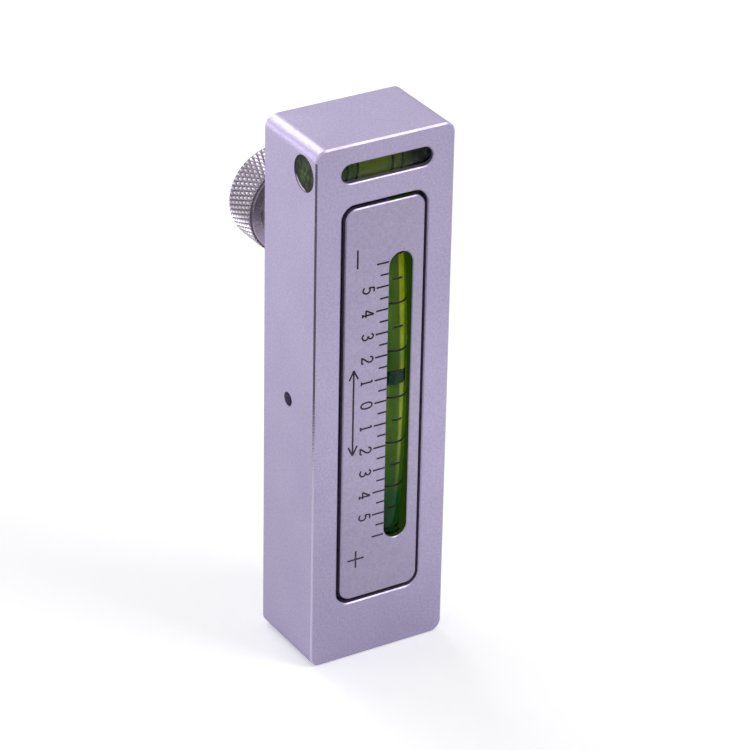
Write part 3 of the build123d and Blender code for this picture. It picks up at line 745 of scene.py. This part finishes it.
def bent_rod(name, stations, outline, material):
    """stations are (degrees, scale) pairs, and outline the section's (x, forward) points."""
    shape = bmesh.new()
    rings = []
    for degrees, scale in stations:
        rings.append([shape.verts.new(on_arc(degrees, x * scale, f * scale))
                      for x, f in outline])
    count = len(outline)
    for below, above in zip(rings, rings[1:]):
        for i in range(count):
            j = (i + 1) % count
            shape.faces.new((below[i], below[j], above[j], above[i]))
    shape.faces.new(list(reversed(rings[0])))
    shape.faces.new(rings[-1])
    bmesh.ops.recalc_face_normals(shape, faces=shape.faces)
    mesh = bpy.data.meshes.new(name)
    shape.to_mesh(mesh)
    shape.free()
    piece = add_piece(name, mesh, material)
    shade(piece, 50)
    return piece


def circle(radius, count=64):
    return [(radius * math.cos(2 * math.pi * i / count), radius * math.sin(2 * math.pi * i / count))
            for i in range(count)]


def rounded_stations(half_degrees, rounding, count=60):
    """Stations along the arc whose last few shrink, for rounded ends."""
    inner = half_degrees - rounding
    made = [(-half_degrees + rounding * (1 - math.cos(t)), 0.9 + 0.1 * math.sin(t))
            for t in (0, 0.4, 0.8, 1.2)]
    made += [(-inner + 2 * inner * i / count, 1.0) for i in range(count + 1)]
    made += [(-d, s) for d, s in reversed(made[:4])]
    return made


HALF_VIAL = 36.0 / DEGREE
glass = bent_rod("camber_vial_glass", rounded_stations(HALF_VIAL, 0.12),
                 circle(VIAL_RADIUS), vial_glass)
hand_over(glass, "carrier", "vial_tube", "long_vial_tube")
HALF_SPIRIT = 33.98 / DEGREE
fill = bent_rod("camber_vial_spirit", rounded_stations(HALF_SPIRIT, 0.1), circle(2.47), spirit)
hand_over(fill, "carrier", "vial_spirit", "long_vial_liquid")

# %% [markdown]
# ## Its bubble
# The bubble floats at the front of the tube, where the arc is highest when the gauge is in use.
# Spirit wets the glass, so the bubble is a flat cushion with short rounded ends.

# %% Camber bubble
def bubble_outline(radius, depth, count=24):
    """A circle segment as (x, forward) points: the tube's curve in front, flat behind."""
    half = math.acos((radius - depth) / radius)
    arc = [(radius * math.sin(a), radius * math.cos(a))
           for a in (half - 2 * half * i / count for i in range(count + 1))]
    return [(x * 0.99, f) for x, f in arc]


bubble_low, bubble_high = box_mm("long_vial_bubble")
BUBBLE_AT = math.degrees(((bubble_low.z + bubble_high.z) / 2 - MIDDLE) / BEND)
BUBBLE_AT -= 0.06
half = 1.42 / DEGREE
ends = [(-half, 0.955), (-half * 0.97, 0.985), (-half * 0.9, 1.0)]
stations = [(BUBBLE_AT + d, s) for d, s in ends + [(-d, s) for d, s in reversed(ends)]]
bubble = bent_rod("camber_bubble", stations, bubble_outline(2.44, 1.0), bubble_skin)
hand_over(bubble, "long_bubble", "vial_bubble", "long_vial_bubble")

# %% [markdown]
# ## Lines round the vial
# Printed lines go round the front of the tube every two degrees, with a short dash between. One
# tree makes both kinds: an arc drawn as a curve, swept with a thin flat profile and set on points
# along the bent axis. Each point turns its line about X, so that it stands square to the tube.

# %% Vial lines
net, names = start_tree("Vial lines", ("Count", "Int"), ("Step", "Float"), ("First", "Float"),
                        ("Bend radius", "Float"), ("Line radius", "Float"), ("Sweep", "Float"),
                        ("Width", "Float"), ("Thickness", "Float"), ("Middle", "Vector"))
given = net.given
index = net.add("GeometryNodeInputIndex").outputs[0]
turn = net.math("ADD", given["First"], net.math("MULTIPLY", index, given["Step"]))
back = net.math("MULTIPLY", net.math("SUBTRACT", 1.0, net.math("COSINE", turn)),
                given["Bend radius"])
up = net.math("MULTIPLY", net.math("SINE", turn), given["Bend radius"])
spot = net.add("ShaderNodeCombineXYZ", {1: back, 2: up}).outputs[0]
points = net.add("GeometryNodeMeshLine", {"Count": given["Count"]})
points = net.add("GeometryNodeSetPosition", {"Geometry": points.outputs[0], "Position": spot})
arc = net.add("GeometryNodeCurveArc", {"Resolution": 40, "Radius": given["Line radius"],
                                       "Sweep Angle": given["Sweep"]}, mode="RADIUS")
begin = net.math("SUBTRACT", -math.pi / 2, net.math("MULTIPLY", given["Sweep"], 0.5))
net.put(arc.inputs["Start Angle"], begin)
profile = net.add("GeometryNodeCurvePrimitiveQuadrilateral", {"Width": given["Thickness"],
                                                              "Height": given["Width"]})
line = net.add("GeometryNodeCurveToMesh", {"Curve": arc.outputs[0],
                                           "Profile Curve": profile.outputs[0],
                                           "Fill Caps": True})
lean = net.add("ShaderNodeCombineXYZ", {0: net.math("MULTIPLY", turn, -1.0)}).outputs[0]
placed = net.add("GeometryNodeInstanceOnPoints", {"Points": points.outputs[0],
                                                  "Instance": line.outputs[0],
                                                  "Rotation": lean})
lifted = net.add("GeometryNodeTransform", {"Geometry": placed.outputs[0],
                                           "Translation": given["Middle"]})
end_tree(net, lifted.outputs[0])
shared = dict(Bend_radius=BEND * MM, Line_radius=(VIAL_RADIUS + 0.025) * MM, Width=0.42 * MM,
              Thickness=0.05 * MM, Middle=(VIAL_X * MM, VIAL_Y * MM, MIDDLE * MM))
long_lines = grow("vial_lines_long", net, names, vial_ink, Count=7, Step=math.radians(2),
                  First=math.radians(-6), Sweep=math.radians(160), **shared)
hand_over(long_lines, "carrier", "vial_marks", "long_vial_rings")
dashes = grow("vial_lines_short", net, names, vial_ink, Count=6, Step=math.radians(2),
              First=math.radians(-5), Sweep=math.radians(36), **shared)
hand_over(dashes, "carrier", "vial_marks", "long_vial_rings")

# %% [markdown]
# ## The levelling vial
# The second vial is straight and lies across the top end. Its glass, spirit and bubble are
# turned shapes: an outline of distance along the axis and radius, spun once round.

# %% Turned shapes
def soften(points, radius, steps=3):
    """Rounds the corners of an open outline, except its two ends."""
    made = [Vector(points[0])]
    for before, corner, after in zip(points, points[1:], points[2:]):
        before, corner, after = Vector(before), Vector(corner), Vector(after)
        reach = min(radius, 0.45 * (before - corner).length, 0.45 * (after - corner).length)
        first = corner + (before - corner).normalized() * reach
        last = corner + (after - corner).normalized() * reach
        for i in range(steps + 1):
            t = i / steps
            made.append(first * (1 - t) ** 2 + corner * 2 * t * (1 - t) + last * t ** 2)
    return made + [Vector(points[-1])]


def turned_shape(name, outline, axis, centre, material, count=96, sharp=35):
    """outline: (along, radius) points in mm, both ends on the axis. axis: 'X' or 'Y'."""
    shape = bmesh.new()
    rings = []
    for along, radius in outline:
        ring = []
        for i in range(count if radius > 1e-6 else 1):
            a = 2 * math.pi * i / count
            p, q = radius * math.cos(a), radius * math.sin(a)
            spot = (along, centre[0] + p, centre[1] + q)
            if axis == "Y":
                spot = (centre[0] + p, along, centre[1] + q)
            ring.append(shape.verts.new(Vector(spot) * MM))
        rings.append(ring)
    for one, two in zip(rings, rings[1:]):
        for i in range(count):
            j = (i + 1) % count
            corners = [one[i % len(one)], one[j % len(one)], two[j % len(two)], two[i % len(two)]]
            face = list(dict.fromkeys(corners))
            if len(face) > 2:
                shape.faces.new(face)
    bmesh.ops.recalc_face_normals(shape, faces=shape.faces)
    mesh = bpy.data.meshes.new(name)
    shape.to_mesh(mesh)
    shape.free()
    piece = add_piece(name, mesh, material)
    shade(piece, sharp)
    return piece

# %% Levelling vial's glass, spirit and bubble
left, right = cross_low.x, cross_high.x
outline = soften([(left, 0), (left, 3.5), (right, 3.5), (right, 0)], 0.25)
cross_glass = turned_shape("level_vial_glass", outline, "X", (CROSS_Y, CROSS_Z), vial_glass)
hand_over(cross_glass, "block", "vial_tube", "cross_vial_tube")
outline = soften([(left + 2.02, 0), (left + 2.02, 2.47), (right - 2.02, 2.47),
                  (right - 2.02, 0)], 0.1)
cross_fill = turned_shape("level_vial_spirit", outline, "X", (CROSS_Y, CROSS_Z), spirit)
hand_over(cross_fill, "block", "vial_spirit", "cross_vial_liquid")
RESIN = 3.72
outline = [(left - 0.01, 0), (left - 0.01, RESIN), (left - 0.08, RESIN), (left - 0.05, 3.3),
           (left - 0.03, 2.4), (left - 0.02, 0)]
seal = turned_shape("level_vial_seal", outline, "X", (CROSS_Y, CROSS_Z), resin_green, 64)
hand_over(seal, "block", "vial_plug")
shape = bmesh.new()
level_low, level_high = box_mm("cross_vial_bubble")
rings = []
for x, s in ((level_low.x, 0.93), (level_low.x + 0.15, 0.98), (level_low.x + 0.5, 1.0),
             (level_high.x - 0.5, 1.0), (level_high.x - 0.15, 0.98), (level_high.x, 0.93)):
    rings.append([shape.verts.new(Vector((x, CROSS_Y - f * s, CROSS_Z + w * s)) * MM)
                  for w, f in bubble_outline(2.44, 1.0)])
for one, two in zip(rings, rings[1:]):
    for i in range(len(one)):
        j = (i + 1) % len(one)
        shape.faces.new((one[i], one[j], two[j], two[i]))
shape.faces.new(rings[0])
shape.faces.new(list(reversed(rings[-1])))
bmesh.ops.recalc_face_normals(shape, faces=shape.faces)
mesh = bpy.data.meshes.new("level_bubble")
shape.to_mesh(mesh)
shape.free()
level_bubble = add_piece("level_bubble", mesh, level_bubble_skin)
shade(level_bubble, 50)
hand_over(level_bubble, "cross_bubble", "vial_bubble", "cross_vial_bubble")

# %% [markdown]
# ## The knurled knob
# The knob is turned from bar: a plain hub, then a wider head with chamfers, a shallow dish in its
# end and a knurled grip. A knurl is two crossing sets of slanted grooves, rolled in under
# pressure, that leave a field of small, long diamonds. It ends at a narrow run-out groove
# beside the head's face. The head's core is a turned shape and the grip a tree's work.

# %% Knob core
HEAD_FRONT, HEAD_BACK = 24.6, 33.8
profile = [(12.15, 5.03), (12.15, 7.6), (12.55, 8.0), (24.6, 8.0), (24.6, 9.8), (24.72, 9.92),
           (24.76, 9.7), (25.0, 9.7), (25.02, 10.0), (33.55, 10.0), (33.8, 9.75), (33.8, 7.5),
           (33.2, 7.5), (33.2, 0.0)]
hollow = [(31.1, 0.0), (31.1, 2.53), (24.1, 2.53), (24.1, 5.03), (12.15, 5.03)]
outline = soften(hollow, 0.05) + soften(profile, 0.12)[1:]
core = turned_shape("knob_core_blank", outline, "Y", (0, KNOB_Z), knob_skin, 144)
drill = turned_shape("grub_drill", [(-9, 0), (-9, 1.5), (9, 1.5), (9, 0)], "X",
                     (18.1, KNOB_Z), knob_skin, 32)
cut = core.modifiers.new("grub holes", "BOOLEAN")
cut.object = drill
cut.solver = "EXACT"
mesh = evaluated(core)
bpy.data.objects.remove(core)
bpy.data.objects.remove(drill)
knob_core = add_piece("knob_core", mesh, knob_skin)
shade(knob_core, 32)
hand_over(knob_core, "knob", "knob_aluminium", "knurled_knob")

# %% A finish with painted shade in its grooves
GROOVE, CREST = 10.12, 10.46
knurl_skin, net, shader = surface("knurl_anodised")
x, y, z = net.xyz(net.place)
above = net.math("SUBTRACT", z, KNOB_Z * MM)
reach = net.math("SQRT", net.math("ADD", net.math("MULTIPLY", x, x),
                                  net.math("MULTIPLY", above, above)))
height = net.add("ShaderNodeMapRange", {"Value": reach, "From Min": GROOVE * MM,
                                        "From Max": CREST * MM}).outputs[0]
# Dark in the grooves and pale on the crests: painted shade in the grooves.
net.put(shader.inputs["Base Color"], between(net, height, tint(108, 100, 112), tint(212, 204, 216)))
shader.inputs["Metallic"].default_value = 0.9
net.put(shader.inputs["Roughness"], spread(net, noise(net, 1.5, 2), 0.26, 0.34))
print("grooves at", GROOVE, "and crests at", CREST, "mm from the axis")

# %% Knurl tree
net, names = start_tree("Knurl", ("Radius", "Float"), ("Start", "Float"), ("Length", "Float"),
                        ("Teeth", "Int"), ("Rows", "Float"), ("Depth", "Float"),
                        ("Flat", "Float"), ("Edge radius", "Float"), ("Columns", "Int"),
                        ("Bands", "Int"), ("Axis height", "Float"))
given = net.given
grid = net.add("GeometryNodeMeshGrid", {"Size X": 1.0, "Size Y": 1.0,
                                        "Vertices X": given["Columns"],
                                        "Vertices Y": given["Bands"]})
place = net.xyz(net.add("GeometryNodeInputPosition").outputs[0])
along_turn = net.math("ADD", place[0], 0.5)
along = net.math("ADD", place[1], 0.5)
ridges = net.math("MULTIPLY", along_turn, given["Teeth"])
slant = net.math("MULTIPLY", along, given["Rows"])


def ridge(phase):
    """1 on the crest of a ridge and 0 in the groove beside it."""
    wave = net.math("PINGPONG", phase, 0.5)
    return net.math("MULTIPLY", wave, 2.0)


one = ridge(net.math("ADD", ridges, slant))
two = ridge(net.math("SUBTRACT", ridges, slant))
cut_off = net.math("SUBTRACT", 1.0, given["Flat"])
height = net.math("DIVIDE", net.math("MINIMUM", net.math("MINIMUM", one, two), cut_off), cut_off)
edge = net.math("MINIMUM", along, net.math("SUBTRACT", 1.0, along))
inside_edge = net.math("GREATER_THAN", edge, 0.004)
radius = net.math("SUBTRACT", given["Radius"],
                  net.math("MULTIPLY", given["Depth"], net.math("SUBTRACT", 1.0, height)))
chamfer = net.math("ADD", given["Edge radius"], net.math("MULTIPLY", edge, given["Length"]))
radius = net.math("MINIMUM", radius, chamfer)
sunk = net.math("MULTIPLY", given["Radius"], 0.93)
radius = net.math("ADD", net.math("MULTIPLY", radius, inside_edge),
                  net.math("MULTIPLY", sunk, net.math("SUBTRACT", 1.0, inside_edge)))
angle = net.math("MULTIPLY", along_turn, 2 * math.pi)
spot = net.add("ShaderNodeCombineXYZ", {
    0: net.math("MULTIPLY", radius, net.math("COSINE", angle)),
    1: net.math("ADD", given["Start"], net.math("MULTIPLY", along, given["Length"])),
    2: net.math("ADD", given["Axis height"],
                net.math("MULTIPLY", radius, net.math("SINE", angle)))}).outputs[0]
wrapped = net.add("GeometryNodeSetPosition", {"Geometry": grid.outputs[0], "Position": spot})
closed = net.add("GeometryNodeMergeByDistance", {"Geometry": wrapped.outputs[0],
                                                 "Distance": 1e-6})
end_tree(net, closed.outputs[0])

# %% Knurled grip
TEETH, FINE = 63, 10
DIAMOND = 2.66
GRIP_START = HEAD_FRONT + 0.42
GRIP_LENGTH = HEAD_BACK - GRIP_START - 0.1
grip = grow("knob_grip", net, names, knurl_skin, Radius=10.5 * MM, Start=GRIP_START * MM,
            Length=GRIP_LENGTH * MM, Teeth=TEETH, Rows=GRIP_LENGTH / DIAMOND, Depth=0.42 * MM,
            Flat=0.12, Edge_radius=10.2 * MM, Columns=TEETH * FINE + 1, Bands=111,
            Axis_height=KNOB_Z * MM)
shape = bmesh.new()
shape.from_mesh(grip.data)
bmesh.ops.recalc_face_normals(shape, faces=shape.faces)
outward = sum(face.normal.dot(face.calc_center_median() - Vector((0, 0.029, KNOB_Z * MM)))
              for face in shape.faces)
if outward < 0:
    bmesh.ops.reverse_faces(shape, faces=shape.faces)
shape.to_mesh(grip.data)
shape.free()
shade(grip, 25)
hand_over(grip, "knob", "knob_aluminium", "knurled_knob")

# %% [markdown]
# ## The wave washer
# Between bushing and knob a spring washer keeps the setting by friction. It is a thin flat ring
# pressed into three waves, so it touches each side at three places.

# %% Wave washer
WAVES, RING_STEPS, THICK = 3, 96, 0.22
washer_low, washer_high = box_mm("wave_washer")
swing = (washer_high.y - washer_low.y - THICK) / 2 - 0.01
middle_y = (washer_low.y + washer_high.y) / 2
shape = bmesh.new()
rings = []
for i in range(RING_STEPS):
    a = 2 * math.pi * i / RING_STEPS
    y = middle_y + swing * math.cos(WAVES * a)
    rings.append([shape.verts.new(Vector((r * math.cos(a), y + t, KNOB_Z + r * math.sin(a))) * MM)
                  for r, t in ((5.1, -THICK / 2), (6.95, -THICK / 2), (6.95, THICK / 2),
                               (5.1, THICK / 2))])
for i in range(RING_STEPS):
    one, two = rings[i], rings[(i + 1) % RING_STEPS]
    for k in range(4):
        m = (k + 1) % 4
        shape.faces.new((one[k], one[m], two[m], two[k]))
bmesh.ops.recalc_face_normals(shape, faces=shape.faces)
mesh = bpy.data.meshes.new("spring_washer")
shape.to_mesh(mesh)
shape.free()
washer = add_piece("spring_washer", mesh, washer_steel)
shade(washer, 40)
hand_over(washer, "block", "hardware_steel", "wave_washer")

# %% [markdown]
# ## Floor and light
# The gauge stands on a pale floor in a white studio. The floor is a plain matt surface with a
# little light of its own for the camera, and more of it far away, where the panels don't reach.
# So it is white where nothing shades it, and keeps the gauge's shadow. Four soft panels light the
# metal: one high in front to the right, which the upper chamfers mirror, one behind and above for
# the top face, a fill from the left, and a weak one behind to the left for the rounded upper left
# edge. Two cards lie on the floor, where only reflections see them. The front left edge mirrors
# the dark one as a dark line near the top, and the middle of the front catches the pale one.

# %% Floor
bpy.ops.mesh.primitive_grid_add(x_subdivisions=4, y_subdivisions=4, size=4.0)
floor = bpy.context.object
floor.name = "studio_floor"
paper, net, shader = surface("floor_paper")
net.put(shader.inputs["Base Color"],
        between(net, noise(net, 3.0, 2), tint(226, 226, 228), tint(230, 230, 231)))
shader.inputs["Roughness"].default_value = 0.9
shader.inputs["Emission Color"].default_value = (1, 1, 1, 1)
seen = net.add("ShaderNodeLightPath").outputs
x, y, z = net.xyz(net.place)
reach = net.math("SQRT", net.math("MULTIPLY_ADD", x, x, net.math("MULTIPLY", y, y)))
own_light = spread(net, reach, 0.34, 0.62, 0.25, 1.0)
glow = net.math("ADD", net.math("MULTIPLY", seen["Is Camera Ray"], own_light),
                net.math("MULTIPLY", seen["Is Glossy Ray"], 0.10))
net.put(shader.inputs["Emission Strength"], glow)
floor.data.materials.append(paper)

# %% Lamps and cards
def panel(name, direction, distance, wide, high, power):
    """A soft panel that faces the gauge's middle from a direction."""
    lamp = bpy.data.lights.new(name, "AREA")
    lamp.shape = "RECTANGLE"
    lamp.size, lamp.size_y = wide, high
    lamp.energy = power
    holder = bpy.data.objects.new(name, lamp)
    bpy.context.scene.collection.objects.link(holder)
    towards = Vector(direction).normalized()
    holder.location = Vector((0, 0, MIDDLE * MM)) + towards * distance
    holder.rotation_mode = "QUATERNION"
    holder.rotation_quaternion = towards.to_track_quat("Z", "Y")
    return holder


panel("front_panel", (0.44, -0.52, 0.73), 0.9, 0.35, 0.35, 2.6)
panel("back_panel", (0.0, 0.75, 0.66), 0.9, 0.4, 0.4, 1.85)
panel("left_panel", (-0.9, 0.5, 0.1), 1.0, 0.5, 0.5, 3.4)
panel("edge_panel", (-0.34, 0.76, 0.56), 0.9, 0.3, 0.3, 0.7)


def card(name, place, size, colours, glow):
    """A square card on the floor that only reflections see."""
    bpy.ops.mesh.primitive_plane_add(size=size, location=(*place, 0.0005),
                                     rotation=(0, 0, math.radians(31.3)))
    sheet = bpy.context.object
    sheet.name = name
    felt, net, shader = surface(name + "_felt")
    net.put(shader.inputs["Base Color"], between(net, noise(net, 0.5, 2), *colours))
    shader.inputs["Emission Color"].default_value = (1, 1, 1, 1)
    shader.inputs["Emission Strength"].default_value = glow
    sheet.data.materials.append(felt)
    sheet.visible_camera = sheet.visible_diffuse = False
    sheet.visible_shadow = sheet.visible_transmission = False


card("dark_card", (-0.18, -0.11), 0.2, (tint(8, 8, 9), tint(14, 14, 15)), 0.0)
card("pale_card", (0.052, -0.094), 0.075, (tint(226, 226, 228), tint(230, 230, 231)), 0.45)

# %% World
world = bpy.data.worlds.new("studio")
bpy.context.scene.world = world
world.use_nodes = True
world.node_tree.nodes.clear()
net = Net(world.node_tree)
seen = net.add("ShaderNodeLightPath").outputs
mirrored = net.math("MAXIMUM", seen["Is Glossy Ray"], seen["Is Transmission Ray"])
strength = net.math("ADD", 0.5, net.math("MULTIPLY", seen["Is Camera Ray"], 0.5))
strength = net.math("ADD", strength, net.math("MULTIPLY", mirrored, 0.3))
sky = net.add("ShaderNodeBackground", {"Color": (1, 1, 1, 1), "Strength": strength})
net.put(net.add("ShaderNodeOutputWorld").inputs["Surface"], sky.outputs[0])

# %% [markdown]
# ## Camera
# The photograph looks down on the gauge from the left, from about 0.75 m, with a long lens. The
# camera's place was worked out from the block's edges and the scale. Shift and depth of field
# stay off.

# %% Camera
YAW, PITCH, ROLL = (math.radians(v) for v in (-31.33, 28.31, 1.16))
DISTANCE, FOCAL_PX, PICTURE_PX = 743.55, 3720.5, 750.0
back = Vector((math.sin(YAW) * math.cos(PITCH), -math.cos(YAW) * math.cos(PITCH),
               math.sin(PITCH)))
right = Vector((math.cos(YAW), math.sin(YAW), 0))
up = back.cross(right)
across = math.cos(ROLL) * right + math.sin(ROLL) * up
upward = -math.sin(ROLL) * right + math.cos(ROLL) * up
aim = Vector((4.494, 0, 57.671))
lens = bpy.data.cameras.new("photo_camera")
lens.sensor_width = 36.0
lens.lens = FOCAL_PX / PICTURE_PX * lens.sensor_width
lens.clip_start, lens.clip_end = 0.05, 20.0
camera = bpy.data.objects.new("photo_camera", lens)
bpy.context.scene.collection.objects.link(camera)
camera.rotation_mode = "QUATERNION"
camera.rotation_quaternion = Matrix((across, upward, back)).transposed().to_quaternion()
camera.location = (aim + back * DISTANCE) * MM
bpy.context.scene.camera = camera
bpy.context.scene.view_settings.view_transform = "Standard"
print("camera at", [round(v, 4) for v in camera.location], "lens", round(lens.lens, 1))
